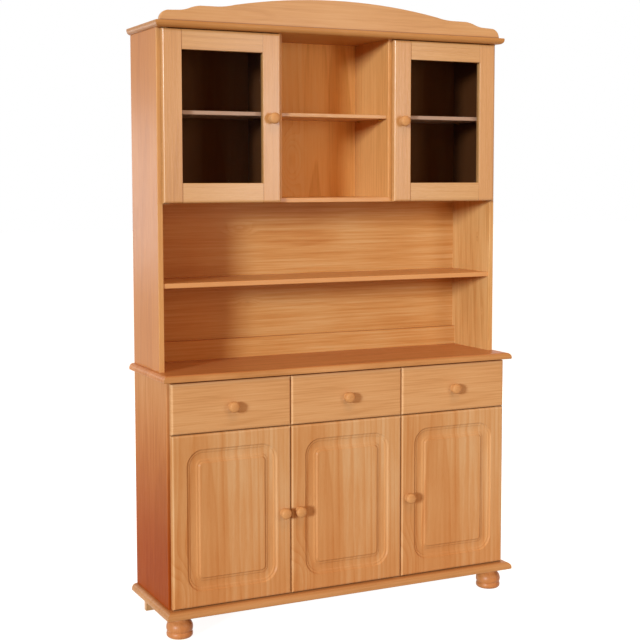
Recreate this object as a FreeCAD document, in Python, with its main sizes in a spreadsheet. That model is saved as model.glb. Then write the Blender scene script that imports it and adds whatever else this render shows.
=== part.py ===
import FreeCAD, Part
import os
import re

# A pine welsh dresser: a base cupboard with three drawers over three doors, and a hutch on
# top of it with an open shelf, two glazed cupboards and an open bay between them.
# Millimetres. X runs to the right, Y to the rear and Z up, and the origin is on the floor
# under the middle of the whole dresser, knobs included.
sizes = {
    # carcass of the base cupboard
    "carcass_width": 1150,
    "base_depth": 292,
    "base_height": 670,
    "side_thick": 18,
    "back_thick": 8,
    "back_inset": 3,
    "drawer_shelf_thick": 16,
    "edge_radius": 2,
    # plinth board, worktop and cornice board
    "plinth_thick": 22,
    "plinth_side_overhang": 17.5,
    "plinth_front_overhang": 43,
    "worktop_thick": 20,
    "worktop_side_overhang": 17,
    "worktop_front_overhang": 32,
    "cornice_thick": 19,
    "cornice_side_overhang": 12,
    "cornice_front_overhang": 36.5,
    "nose_round_share": 0.68,
    "nose_edge_share": 0.15,
    # bun feet and rear legs
    "foot_height": 66,
    "foot_radius": 40,
    "foot_ring_radius": 39.5,
    "foot_core_radius": 36.5,
    "foot_neck_radius": 28,
    "foot_ring_share": 0.31,
    "foot_bulge_share": 0.48,
    "foot_inset": 38,
    "foot_setback": 13,
    "foot_spigot_radius": 10,
    "foot_spigot_length": 12,
    "rear_leg_width": 45,
    "rear_leg_thick": 18,
    "rear_leg_inset": 22,
    # doors and drawer fronts of the base
    "base_reveal": 7,
    "fronts_gap": 2.2,
    "front_gap": 2.5,
    "door_thick": 18,
    "front_edge_radius": 7,
    "back_edge_radius": 3,
    "drawer_front_height": 149.2,
    "drawer_top_gap": 4,
    # routed panel of a base door
    "panel_margin": 45,
    "panel_width": 42,
    "panel_step_depth": 0.6,
    "panel_edge_width": 4.5,
    "panel_edge_depth": 4.2,
    "panel_lip_width": 8.5,
    "panel_lip_depth": 4.4,
    "panel_slope_width": 12.5,
    "panel_slope_depth": 6.4,
    "panel_depth": 7,
    "field_corner_radius": 9,
    # turned knobs
    "knob_reach": 28,
    "knob_radius": 17,
    "knob_head_thick": 22,
    "knob_stem_radius": 14,
    "knob_neck_radius": 12.5,
    "knob_spigot_radius": 5,
    "knob_spigot_length": 12,
    "knob_edge": 24,
    "door_knob_drop": 5.5,
    "drawer_knob_drop": 3,
    # pivots, catches and strike plates
    "pivot_inset": 8.5,
    "pivot_pin_radius": 2,
    "pivot_pin_length": 9,
    "pivot_plate_thick": 1.2,
    "pivot_plate_margin": 6,
    "pivot_tail_width": 14,
    "pivot_tail_length": 26,
    "bush_radius": 3,
    "bush_length": 11,
    "catch_width": 36,
    "catch_depth": 14,
    "catch_height": 14,
    "catch_inset": 40,
    "strike_width": 16,
    "strike_height": 20,
    "strike_thick": 1.5,
    "strike_drop": 2,
    # drawers and their runners
    "drawer_side_thick": 12,
    "drawer_side_height": 95,
    "drawer_side_gap": 3,
    "drawer_lift": 5,
    "drawer_rear_gap": 10,
    "drawer_back_drop": 6,
    "drawer_bottom_thick": 4,
    "drawer_bottom_lift": 8,
    "drawer_groove_depth": 5,
    "runner_thick": 8,
    "runner_height": 16,
    "runner_lift": 40,
    "runner_setback": 2,
    # loose shelves and their pins
    "base_shelf_thick": 16,
    "base_shelf_height": 240,
    "base_shelf_setback": 20,
    "shelf_clearance": 0.5,
    "pin_radius": 2.5,
    "pin_reach": 10,
    "pin_depth": 6,
    "pin_margin": 35,
    # hutch
    "hutch_setback": 57,
    "hutch_height": 992,
    "hutch_side_thick": 16,
    "cupboard_floor_height": 490.5,
    "cupboard_floor_thick": 14.5,
    "cupboard_shelf_height": 243,
    "cupboard_shelf_thick": 12,
    "cupboard_shelf_setback": 8,
    "open_shelf_height": 243.5,
    "open_shelf_thick": 15,
    "open_shelf_setback": 4.5,
    "back_rail_height": 61,
    "back_rail_thick": 16,
    # crest board
    "crest_height": 85,
    "crest_thick": 16,
    "crest_setback": 10,
    "crest_end_inset": 14,
    # glazed doors
    "glazed_reveal": 12,
    "glazed_width": 370,
    "glazed_gap": 1,
    "glazed_lap": 4,
    "frame_width": 58,
    "frame_inner_radius": 1.5,
    "rebate_width": 8,
    "rebate_depth": 9,
    "glass_thick": 4,
    "glass_clearance": 1,
    # dowels and fits
    "dowel_radius": 4,
    "dowel_length": 24,
    "base_dowel_margin": 60,
    "hutch_dowel_margin": 30,
    "running_clearance": 0.05,
    "slide_clearance": 0.3,
    "overrun": 1,
}

# Half of the crest's outline from the middle to the right end, as shares of its half length
# and its height: the middle arch, a hollow, a flat, a shoulder, a hollow, a flat and a round end.
crest_arch_shares = (0.595, 0.640)
crest_outline_shares = [
    ((0.642, 0.574), (0.690, 0.545)),
    (None, (0.782, 0.541)),
    ((0.816, 0.500), (0.845, 0.432)),
    ((0.868, 0.387), (0.895, 0.362)),
    (None, (0.945, 0.347)),
    ((0.985, 0.246), (1.000, 0.000)),
]

columns = ("left", "centre", "right")
quarter_turn = 90
same_place = 0.001

doc = FreeCAD.newDocument("welsh_dresser")
sheet = doc.addObject("Spreadsheet::Sheet", "Sizes")
for row, (alias, number) in enumerate(sizes.items(), 1):
    sheet.set(f"A{row}", alias)
    sheet.set(f"B{row}", str(number))
    sheet.setAlias(f"B{row}", alias)
doc.recompute()

subparts = []
words = re.compile(r"[a-z_]+")
upright = FreeCAD.Rotation()
rightward = FreeCAD.Rotation(FreeCAD.Vector(0, 1, 0), quarter_turn)
forward = FreeCAD.Rotation(FreeCAD.Vector(1, 0, 0), quarter_turn)


def linked(text):
    return words.sub(lambda word: f"Sizes.{word.group()}", text)


def amount(text):
    return float(sheet.evalExpression(linked(text)))


def bind(item, prop, text):
    item.setExpression(prop, linked(text))


def place(item, corner, turn=upright):
    item.Placement = FreeCAD.Placement(FreeCAD.Vector(), turn)
    for axis, text in zip("xyz", corner):
        bind(item, f"Placement.Base.{axis}", text)


def box(name, size, corner):
    block = doc.addObject("Part::Box", name)
    for prop, text in zip(("Length", "Width", "Height"), size):
        bind(block, prop, text)
    place(block, corner)
    return block


def cylinder(name, radius, length, start, turn=upright):
    rod = doc.addObject("Part::Cylinder", name)
    bind(rod, "Radius", radius)
    bind(rod, "Height", length)
    place(rod, start, turn)
    return rod


def edge_names(shape, wanted):
    # an edge is named by the faces of the block it lies on, and a minus leaves a face out
    limits = shape.BoundBox
    planes = {
        "left": (0, limits.XMin), "right": (0, limits.XMax),
        "front": (1, limits.YMin), "rear": (1, limits.YMax),
        "bottom": (2, limits.ZMin), "top": (2, limits.ZMax),
    }

    def lies_on(edge, side):
        axis, level = planes[side]
        return all(abs(vertex.Point[axis] - level) < same_place for vertex in edge.Vertexes)

    def fits(edge, phrase):
        return all(
            not lies_on(edge, word[1:]) if word.startswith("-") else lies_on(edge, word)
            for word in phrase.split()
        )

    return [
        f"Edge{number}" for number, edge in enumerate(shape.Edges, 1)
        if any(fits(edge, phrase) for phrase in wanted)
    ]


def rounded(name, size, corner, softened):
    body = doc.addObject("PartDesign::Body", name)
    shaped = body.newObject("PartDesign::AdditiveBox", f"{name}_block")
    for prop, text in zip(("Length", "Width", "Height"), size):
        bind(shaped, prop, text)
    place(body, corner)
    doc.recompute()
    for radius, wanted in softened:
        fillet = body.newObject("PartDesign::Fillet", f"{name}_{radius}")
        fillet.Base = (shaped, edge_names(shaped.Shape, wanted))
        bind(fillet, "Radius", radius)
        doc.recompute()
        shaped = fillet
    return body


def group(name, members):
    bundle = doc.addObject("Part::Compound", name)
    bundle.Links = members
    return bundle


def cut(name, base, tools):
    result = doc.addObject("Part::Cut", name)
    result.Base = base
    result.Tool = tools[0] if len(tools) == 1 else group(f"{name}_tools", tools)
    return result


def fuse(name, members):
    result = doc.addObject("Part::MultiFuse", name)
    result.Shapes = members
    return result


def subpart(item, node):
    item.Label = node
    subparts.append(item)
    return item


# Places that follow from the sizes
half_width = "(carcass_width / 2)"
front_y = "((front_gap + door_thick + knob_reach - base_depth) / 2)"
back_y = f"({front_y} + base_depth)"
panel_rear = f"({back_y} - back_inset)"
panel_face = f"({panel_rear} - back_thick)"
plinth_top = "(foot_height + plinth_thick)"
base_top = f"({plinth_top} + base_height)"
worktop_top = f"({base_top} + worktop_thick)"
front_back = f"({front_y} - front_gap)"
front_face = f"({front_back} - door_thick)"
inner_left = f"(side_thick - {half_width})"
inner_right = f"({half_width} - side_thick)"

front_width = "((carcass_width - 2 * base_reveal - 2 * fronts_gap) / 3)"
column_pitch = f"({front_width} + fronts_gap)"
column_left = [f"({index} * {column_pitch} + base_reveal - {half_width})" for index in range(3)]
door_bottom = f"({plinth_top} + fronts_gap)"
door_height = "(base_height - 2 * fronts_gap - drawer_top_gap - drawer_front_height)"
door_top = f"({door_bottom} + {door_height})"
drawer_bottom = f"({door_top} + fronts_gap)"
shelf_under = f"({door_top} + (fronts_gap + pivot_plate_thick) / 2)"
shelf_top = f"({shelf_under} + drawer_shelf_thick)"

hutch_front = f"({front_y} + hutch_setback)"
hutch_back = f"({hutch_front} - front_gap)"
hutch_face = f"({hutch_back} - door_thick)"
cornice_under = f"({worktop_top} + hutch_height)"
cornice_top = f"({cornice_under} + cornice_thick)"
hutch_left = f"(hutch_side_thick - {half_width})"
hutch_right = f"({half_width} - hutch_side_thick)"
hutch_inner_width = "(carcass_width - 2 * hutch_side_thick)"
floor_under = f"({worktop_top} + cupboard_floor_height)"
floor_top = f"({floor_under} + cupboard_floor_thick)"
glazed_bottom = f"({floor_under} + glazed_gap)"
glazed_top = f"({cornice_under} - pivot_plate_thick - glazed_gap)"
glazed_height = f"({glazed_top} - {glazed_bottom})"
rail_length = "(glazed_width - 2 * frame_width)"


# Dowels that hold the boards together: two in each end of each side board
base_dowels = (f"({front_y} + base_dowel_margin)", f"({back_y} - base_dowel_margin)")
hutch_dowels = (f"({hutch_front} + hutch_dowel_margin)", f"({back_y} - hutch_dowel_margin)")
base_centre = f"({half_width} - side_thick / 2)"
hutch_centre = f"({half_width} - hutch_side_thick / 2)"


def dowel_row(name, x, depths, level, radius):
    start = f"({level} - dowel_length / 2)"
    return [
        cylinder(f"{name}_{index}", radius, "dowel_length", (x, depth, start))
        for index, depth in enumerate(depths)
    ]


def dowel_holes(name, x, depths, level):
    return dowel_row(f"{name}_dowel_hole", x, depths, level, "dowel_radius + running_clearance")


dowels = []
for joint, x, depths, level in (
    ("plinth", base_centre, base_dowels, plinth_top),
    ("base_top", base_centre, base_dowels, base_top),
    ("hutch_foot", hutch_centre, hutch_dowels, worktop_top),
    ("cornice", hutch_centre, hutch_dowels, cornice_under),
):
    dowels += dowel_row(f"{joint}_right_dowel", x, depths, level, "dowel_radius")
    dowels += dowel_row(f"{joint}_left_dowel", f"-{x}", depths, level, "dowel_radius")
subpart(group("dowels", dowels), "dowels")

# Shelf pins, each half in the board beside the shelf and half under the shelf
shelf_pins = []


def pin_row(name, wall, points_right, depths, level):
    # returns the holes for the board and adds the pins that stand in them
    holes = []
    for index, depth in enumerate(depths):
        start = f"({wall} - pin_depth)" if points_right else f"({wall} - pin_reach)"
        hole_start = start if points_right else f"({wall} - overrun)"
        centre = f"({level} - pin_radius)"
        shelf_pins.append(cylinder(
            f"{name}_pin_{index}", "pin_radius", "pin_depth + pin_reach", (start, depth, centre), rightward))
        holes.append(cylinder(
            f"{name}_pin_hole_{index}", "pin_radius + running_clearance", "pin_depth + overrun",
            (hole_start, depth, centre), rightward))
    return holes


# Base cupboard


def nose_edges(thick, full, slight):
    # the front and the ends of a board, rounded fully on one face and slightly on the other
    return [
        (f"nose_round_share * {thick}", (f"{full} -rear",)),
        (f"nose_edge_share * {thick}", (f"{slight} -rear",)),
    ]


front_edges = [("edge_radius", ("front left", "front right"))]
shelf_edges = [("edge_radius", ("front top", "front bottom"))]


def foot_place(side):
    return (f"{side} * ({half_width} - foot_inset)", f"({front_y} + foot_setback)")


def bun_foot(name, side):
    ring = "(foot_ring_share * foot_height / 2)"
    bulge = "(foot_bulge_share * foot_height / 2)"
    bulge_level = f"(2 * {ring} + {bulge})"
    members = []
    for part, radius, small, level in (
        ("ring", "foot_ring_radius", ring, ring),
        ("bulge", "foot_radius", bulge, bulge_level),
    ):
        torus = doc.addObject("Part::Torus", f"{name}_{part}")
        bind(torus, "Radius1", f"{radius} - {small}")
        bind(torus, "Radius2", small)
        place(torus, ("0", "0", level))
        members.append(torus)
        members.append(cylinder(
            f"{name}_{part}_core", f"{radius} - {small}", f"2 * {small}", ("0", "0", f"{level} - {small}")))
    members.append(cylinder(
        f"{name}_waist", "foot_core_radius", f"{bulge_level} - {ring}", ("0", "0", ring)))
    members.append(cylinder(
        f"{name}_neck", "foot_neck_radius", f"foot_height - {bulge_level}", ("0", "0", bulge_level)))
    members.append(cylinder(
        f"{name}_spigot", "foot_spigot_radius", f"foot_height + foot_spigot_length - {bulge_level}",
        ("0", "0", bulge_level)))
    foot = fuse(name, members)
    place(foot, (*foot_place(side), "0"))
    return foot


feet = [bun_foot("left_bun_foot", "-1"), bun_foot("right_bun_foot", "1")]
subpart(group("bun_feet", feet), "bun_feet")

leg_size = ("rear_leg_width", "rear_leg_thick", "foot_height")
leg_y = f"{back_y} - rear_leg_thick"
leg_edges = [("edge_radius", ("front left", "front right", "rear left", "rear right"))]
legs = [
    rounded("left_rear_leg", leg_size, (f"rear_leg_inset - {half_width}", leg_y, "0"), leg_edges),
    rounded("right_rear_leg", leg_size,
            (f"{half_width} - rear_leg_inset - rear_leg_width", leg_y, "0"), leg_edges),
]
subpart(group("rear_legs", legs), "rear_legs")

plinth_blank = rounded(
    "plinth_blank",
    ("carcass_width + 2 * plinth_side_overhang", "base_depth + plinth_front_overhang", "plinth_thick"),
    (f"-{half_width} - plinth_side_overhang", f"{front_y} - plinth_front_overhang", "foot_height"),
    nose_edges("plinth_thick", "top", "bottom"))
plinth_holes = [
    cylinder(f"foot_hole_{side}", "foot_spigot_radius + running_clearance", "foot_spigot_length + overrun",
             (*foot_place(side), "foot_height - overrun"))
    for side in ("-1", "1")
]
plinth_holes += dowel_holes("plinth_right", base_centre, base_dowels, plinth_top)
plinth_holes += dowel_holes("plinth_left", f"-{base_centre}", base_dowels, plinth_top)
subpart(cut("plinth_board", plinth_blank, plinth_holes), "plinth_board")

base_shelf_front = f"({front_y} + base_shelf_setback)"
base_shelf_level = f"({plinth_top} + base_shelf_height)"
base_pin_depths = (f"({base_shelf_front} + pin_margin)", f"({panel_face} - pin_margin)")
partition_left = f"({column_pitch} / 2 - side_thick / 2)"
partition_right = f"({partition_left} + side_thick)"

for side, corner_x, wall, sign in (
    ("left", f"-{half_width}", inner_left, "-"),
    ("right", inner_right, inner_right, ""),
):
    blank = rounded(f"base_{side}_blank", ("side_thick", "base_depth", "base_height"),
                    (corner_x, front_y, plinth_top), front_edges)
    holes = pin_row(f"base_{side}", wall, side == "left", base_pin_depths, base_shelf_level)
    holes += dowel_holes(f"base_{side}_foot", f"{sign}{base_centre}", base_dowels, plinth_top)
    holes += dowel_holes(f"base_{side}_head", f"{sign}{base_centre}", base_dowels, base_top)
    subpart(cut(f"base_{side}_side", blank, holes), f"base_{side}_side")

partition_blank = rounded(
    "partition_blank", ("side_thick", f"{panel_face} - {front_y}", f"{shelf_under} - {plinth_top}"),
    (partition_left, front_y, plinth_top), front_edges)
partition_holes = pin_row("partition_left", partition_left, False, base_pin_depths, base_shelf_level)
partition_holes += pin_row("partition_right", partition_right, True, base_pin_depths, base_shelf_level)
subpart(cut("base_partition", partition_blank, partition_holes), "base_partition")

inner_width = "(carcass_width - 2 * side_thick)"
subpart(rounded(
    "drawer_shelf", (inner_width, f"{panel_face} - {front_y}", "drawer_shelf_thick"),
    (inner_left, front_y, shelf_under), shelf_edges), "drawer_shelf")

dividers = [
    rounded(f"{side}_drawer_divider",
            ("side_thick", f"{panel_face} - {front_y}", f"{base_top} - {shelf_top}"),
            (f"{sign} * {column_pitch} / 2 - side_thick / 2", front_y, shelf_top), front_edges)
    for side, sign in (("left", "-1"), ("right", "1"))
]
subpart(group("drawer_dividers", dividers), "drawer_dividers")

subpart(box("base_back_panel", (inner_width, "back_thick", "base_height"),
            (inner_left, panel_face, plinth_top)), "base_back_panel")

base_shelves = [
    rounded(f"{name}_base_shelf",
            (f"{right} - {left} - 2 * shelf_clearance",
             f"{panel_face} - shelf_clearance - {base_shelf_front}", "base_shelf_thick"),
            (f"{left} + shelf_clearance", base_shelf_front, base_shelf_level), shelf_edges)
    for name, left, right in (
        ("wide", inner_left, partition_left),
        ("narrow", partition_right, inner_right),
    )
]
subpart(group("base_shelves", base_shelves), "base_shelves")

worktop_blank = rounded(
    "worktop_blank",
    ("carcass_width + 2 * worktop_side_overhang", "base_depth + worktop_front_overhang", "worktop_thick"),
    (f"-{half_width} - worktop_side_overhang", f"{front_y} - worktop_front_overhang", base_top),
    nose_edges("worktop_thick", "top", "bottom"))
worktop_holes = []
for side, sign in (("left", "-"), ("right", "")):
    worktop_holes += dowel_holes(f"worktop_{side}", f"{sign}{base_centre}", base_dowels, base_top)
    worktop_holes += dowel_holes(f"worktop_{side}_hutch", f"{sign}{hutch_centre}", hutch_dowels, worktop_top)
subpart(cut("worktop", worktop_blank, worktop_holes), "worktop")


# Knobs, pivots and catches
def knob(name, x, face, level):
    head_level = "(knob_reach - knob_head_thick / 2)"
    stem = doc.addObject("Part::Cone", f"{name}_stem")
    bind(stem, "Radius1", "knob_stem_radius")
    bind(stem, "Radius2", "knob_neck_radius")
    bind(stem, "Height", head_level)
    head = doc.addObject("Part::Ellipsoid", f"{name}_head")
    bind(head, "Radius1", "knob_head_thick / 2")
    bind(head, "Radius2", "knob_radius")
    bind(head, "Radius3", "knob_radius")
    place(head, ("0", "0", head_level))
    spigot = cylinder(f"{name}_spigot", "knob_spigot_radius", "knob_spigot_length",
                      ("0", "0", "-knob_spigot_length"))
    turned = fuse(name, [stem, head, spigot])
    place(turned, (x, face, level), forward)
    return subpart(turned, name)


def knob_hole(name, x, face, level):
    return cylinder(f"{name}_hole", "knob_spigot_radius + running_clearance", "knob_spigot_length + overrun",
                    (x, f"{face} + knob_spigot_length", level), forward)


def from_hinge(hinge, left, width, distance):
    return f"({left} + {distance})" if hinge == "left" else f"({left} + {width} - {distance})"


def pivot_plate(name, hinge, pivot, wall, carcass_y, level, pin_up):
    pivot_x, pivot_y = pivot
    arm_front = f"({pivot_y} - pivot_plate_margin)"
    if hinge == "left":
        tail_left = f"({wall} + slide_clearance)"
        arm_left = f"({pivot_x} - pivot_plate_margin)"
        arm_right = f"({tail_left} + pivot_tail_width)"
    else:
        tail_left = f"({wall} - slide_clearance - pivot_tail_width)"
        arm_left = tail_left
        arm_right = f"({pivot_x} + pivot_plate_margin)"
    arm_width = f"{arm_right} - {arm_left}"
    arm_depth = f"{carcass_y} - slide_clearance - {arm_front}"
    arm = box(f"{name}_arm", (arm_width, arm_depth, "pivot_plate_thick"), (arm_left, arm_front, level))
    tail = box(f"{name}_tail",
               ("pivot_tail_width", f"{carcass_y} + pivot_tail_length - {arm_front}", "pivot_plate_thick"),
               (tail_left, arm_front, level))
    pin_start = level if pin_up else f"({level} - pivot_pin_length)"
    pin = cylinder(f"{name}_pin", "pivot_pin_radius", "pivot_plate_thick + pivot_pin_length",
                   (pivot_x, pivot_y, pin_start))
    return fuse(name, [arm, tail, pin])


def bush(name, pivot, level):
    outer = cylinder(f"{name}_outer", "bush_radius", "bush_length", (*pivot, level))
    bore = cylinder(f"{name}_bore", "pivot_pin_radius + running_clearance", "bush_length + 2 * overrun",
                    (*pivot, f"{level} - overrun"))
    return cut(name, outer, [bore])


def bush_holes(name, pivot, bottom, top):
    radius = "bush_radius + running_clearance"
    return [
        cylinder(f"{name}_lower_hole", radius, "bush_length + overrun", (*pivot, f"{bottom} - overrun")),
        cylinder(f"{name}_upper_hole", radius, "bush_length + overrun", (*pivot, f"{top} - bush_length")),
    ]


def door_fittings(name, pivot, catch_x, door_back, bottom, top):
    strike = box(f"{name}_strike", ("strike_width", "strike_thick", "strike_height"),
                 (f"{catch_x} - strike_width / 2", door_back, f"{top} - strike_drop - strike_height"))
    lower = bush(f"{name}_lower_bush", pivot, bottom)
    upper = bush(f"{name}_upper_bush", pivot, f"{top} - bush_length")
    return subpart(group(f"{name}_fittings", [lower, upper, strike]), f"{name}_fittings")


def door_catch(name, catch_x, door_back, under):
    return box(f"{name}_catch", ("catch_width", "catch_depth", "catch_height"),
               (f"{catch_x} - catch_width / 2", f"{door_back} + strike_thick + slide_clearance",
                f"{under} - catch_height"))


pivot_plates = []
door_catches = []


# Base doors: one board each, with a hollow ring routed round a flat field. The cutter follows
# a rectangle with round corners, and its section is a shallow arc with two short slopes on each side.
compass = [FreeCAD.Vector(*way) for way in ((0, 0, -1), (1, 0, 0), (0, 0, 1), (-1, 0, 0))]


def ring_shape():
    radius = amount("field_corner_radius + panel_width")
    straight_across = amount(f"{front_width} / 2 - panel_margin") - radius
    straight_up = amount(f"{door_height} / 2 - panel_margin") - radius
    start = FreeCAD.Vector(-straight_across, 0, -straight_up - radius)

    def point(inward, deep):
        return start + FreeCAD.Vector(0, amount(deep), amount(inward))

    slope = [
        ("0", "-overrun"),
        ("0", "panel_step_depth"),
        ("panel_edge_width", "panel_edge_depth"),
        ("panel_lip_width", "panel_lip_depth"),
        ("panel_slope_width", "panel_slope_depth"),
    ]
    outer = [point(inward, deep) for inward, deep in slope]
    inner = [point(f"panel_width - {inward}", deep) for inward, deep in reversed(slope)]
    corners = outer + inner
    section = [Part.LineSegment(*pair) for pair in zip(corners, corners[1:] + corners[:1])]
    hollow = Part.Arc(outer[-1], point("panel_width / 2", "panel_depth"), inner[0])
    section[len(outer) - 1] = hollow
    path = []
    for first, second in zip(compass, compass[1:] + compass[:1]):
        diagonal = first + second
        centre = FreeCAD.Vector(diagonal.x * straight_across, 0, diagonal.z * straight_up)
        turn_start, turn_end = centre + first * radius, centre + second * radius
        turn_middle = centre + diagonal.normalize() * radius
        path.append(Part.LineSegment(start, turn_start))
        path.append(Part.Arc(turn_start, turn_middle, turn_end))
        start = turn_end
    outline = Part.Wire([curve.toShape() for curve in section])
    return Part.Wire([curve.toShape() for curve in path]).makePipeShell([outline], True)


def routed_ring(name, left):
    ring = doc.addObject("Part::Feature", f"{name}_ring")
    ring.Shape = ring_shape()
    place(ring, (f"{left} + {front_width} / 2", front_face, door_middle))
    return ring


door_middle = f"({door_bottom} + {door_height} / 2)"
door_knob_level = f"({door_middle} - door_knob_drop)"
door_edges = [
    ("front_edge_radius", ("front",)),
    ("back_edge_radius", ("rear",)),
]
pivot_depth = f"({front_face} + pivot_inset)"
for column, left, hinge, wall in (
    ("left", column_left[0], "left", inner_left),
    ("centre", column_left[1], "right", partition_left),
    ("right", column_left[2], "right", inner_right),
):
    name = f"{column}_door"
    free = "right" if hinge == "left" else "left"
    pivot = (from_hinge(hinge, left, front_width, "pivot_inset"), pivot_depth)
    knob_x = from_hinge(free, left, front_width, "knob_edge")
    catch_x = from_hinge(free, left, front_width, "catch_inset")
    blank = rounded(f"{name}_blank", (front_width, "door_thick", door_height),
                    (left, front_face, door_bottom), door_edges)
    tools = [routed_ring(name, left), knob_hole(f"{name}_knob", knob_x, front_face, door_knob_level)]
    tools += bush_holes(name, pivot, door_bottom, door_top)
    subpart(cut(f"{name}_panel", blank, tools), f"{name}_panel")
    knob(f"{name}_knob", knob_x, front_face, door_knob_level)
    door_fittings(name, pivot, catch_x, front_back, door_bottom, door_top)
    door_catches.append(door_catch(name, catch_x, front_back, shelf_under))
    pivot_plates.append(pivot_plate(f"{name}_lower_plate", hinge, pivot, wall, front_y, plinth_top, True))
    pivot_plates.append(pivot_plate(
        f"{name}_upper_plate", hinge, pivot, wall, front_y, f"({shelf_under} - pivot_plate_thick)", False))


# Drawers on runners
drawer_side_bottom = f"({shelf_top} + drawer_lift)"
drawer_rear = f"({panel_face} - drawer_rear_gap)"
drawer_length = f"({drawer_rear} - {front_back})"
runner_bottom = f"({drawer_side_bottom} + runner_lift)"
drawer_floor = f"({drawer_side_bottom} + drawer_bottom_lift)"
bay_walls = (
    (inner_left, f"(-{column_pitch} / 2 - side_thick / 2)"),
    (f"(side_thick / 2 - {column_pitch} / 2)", partition_left),
    (partition_right, inner_right),
)
runners = []


def drawer_side(name, x, runner_groove_x, floor_groove_x):
    side = box(f"{name}_board", ("drawer_side_thick", drawer_length, "drawer_side_height"),
               (x, front_back, drawer_side_bottom))
    runner_groove = box(
        f"{name}_runner_groove",
        ("runner_thick - drawer_side_gap + slide_clearance + overrun", f"{drawer_length} + 2 * overrun",
         "runner_height + 2 * slide_clearance"),
        (runner_groove_x, f"{front_back} - overrun", f"{runner_bottom} - slide_clearance"))
    floor_groove = box(
        f"{name}_floor_groove",
        ("drawer_groove_depth + overrun", f"{drawer_length} + 2 * overrun", "drawer_bottom_thick"),
        (floor_groove_x, f"{front_back} - overrun", drawer_floor))
    return cut(name, side, [runner_groove, floor_groove])


for column, left, (wall_left, wall_right) in zip(columns, column_left, bay_walls):
    name = f"{column}_drawer"
    middle_x = f"({left} + {front_width} / 2)"
    knob_level = f"({drawer_bottom} + drawer_front_height / 2 - drawer_knob_drop)"
    blank = rounded(f"{name}_front_blank", (front_width, "door_thick", "drawer_front_height"),
                    (left, front_face, drawer_bottom), door_edges)
    subpart(cut(f"{name}_front", blank, [knob_hole(f"{name}_knob", middle_x, front_face, knob_level)]),
            f"{name}_front")
    knob(f"{name}_knob", middle_x, front_face, knob_level)
    outer_left = f"({wall_left} + drawer_side_gap)"
    outer_right = f"({wall_right} - drawer_side_gap)"
    box_left = f"({outer_left} + drawer_side_thick)"
    box_right = f"({outer_right} - drawer_side_thick)"
    left_side = drawer_side(f"{name}_left_side", outer_left, f"{outer_left} - overrun",
                            f"{box_left} - drawer_groove_depth")
    right_side = drawer_side(
        f"{name}_right_side", box_right,
        f"{outer_right} - runner_thick + drawer_side_gap - slide_clearance", f"{box_right} - overrun")
    back = box(f"{name}_back",
               (f"{box_right} - {box_left}", "drawer_side_thick",
                "drawer_side_height - drawer_bottom_lift - drawer_bottom_thick - drawer_back_drop"),
               (box_left, f"{drawer_rear} - drawer_side_thick", f"{drawer_floor} + drawer_bottom_thick"))
    subpart(group(f"{name}_box", [left_side, right_side, back]), f"{name}_box")
    subpart(box(f"{name}_bottom",
                (f"{box_right} - {box_left} + 2 * drawer_groove_depth - 2 * slide_clearance", drawer_length,
                 "drawer_bottom_thick"),
                (f"{box_left} - drawer_groove_depth + slide_clearance", front_back, drawer_floor)),
            f"{name}_bottom")
    runner_size = ("runner_thick", f"{panel_face} - {front_y} - runner_setback", "runner_height")
    for side, x in (("left", wall_left), ("right", f"{wall_right} - runner_thick")):
        runners.append(box(f"{name}_{side}_runner", runner_size,
                           (x, f"{front_y} + runner_setback", runner_bottom)))
subpart(group("drawer_runners", runners), "drawer_runners")


# Hutch
shelf_front = f"({hutch_front} + cupboard_shelf_setback)"
shelf_level = f"({floor_top} + cupboard_shelf_height)"
hutch_pin_depths = (f"({shelf_front} + pin_margin)", f"({panel_face} - pin_margin)")
bay_outer = f"({half_width} - glazed_reveal - glazed_width + glazed_lap)"
bay_right = f"({bay_outer} - hutch_side_thick)"

for side, corner_x, wall, sign in (
    ("left", f"-{half_width}", hutch_left, "-"),
    ("right", hutch_right, hutch_right, ""),
):
    blank = rounded(f"hutch_{side}_blank", ("hutch_side_thick", f"{back_y} - {hutch_front}", "hutch_height"),
                    (corner_x, hutch_front, worktop_top), front_edges)
    holes = pin_row(f"hutch_{side}", wall, side == "left", hutch_pin_depths, shelf_level)
    holes += dowel_holes(f"hutch_{side}_foot", f"{sign}{hutch_centre}", hutch_dowels, worktop_top)
    holes += dowel_holes(f"hutch_{side}_head", f"{sign}{hutch_centre}", hutch_dowels, cornice_under)
    subpart(cut(f"hutch_{side}_side", blank, holes), f"hutch_{side}_side")

partitions = []
for side, corner_x, left_wall, right_wall in (
    ("left", f"-{bay_outer}", f"-{bay_outer}", f"-{bay_right}"),
    ("right", bay_right, bay_right, bay_outer),
):
    blank = rounded(f"{side}_partition_blank",
                    ("hutch_side_thick", f"{panel_face} - {hutch_front}", f"{cornice_under} - {floor_top}"),
                    (corner_x, hutch_front, floor_top), front_edges)
    holes = pin_row(f"{side}_partition_left", left_wall, False, hutch_pin_depths, shelf_level)
    holes += pin_row(f"{side}_partition_right", right_wall, True, hutch_pin_depths, shelf_level)
    partitions.append(cut(f"{side}_hutch_partition", blank, holes))
subpart(group("hutch_partitions", partitions), "hutch_partitions")

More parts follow.
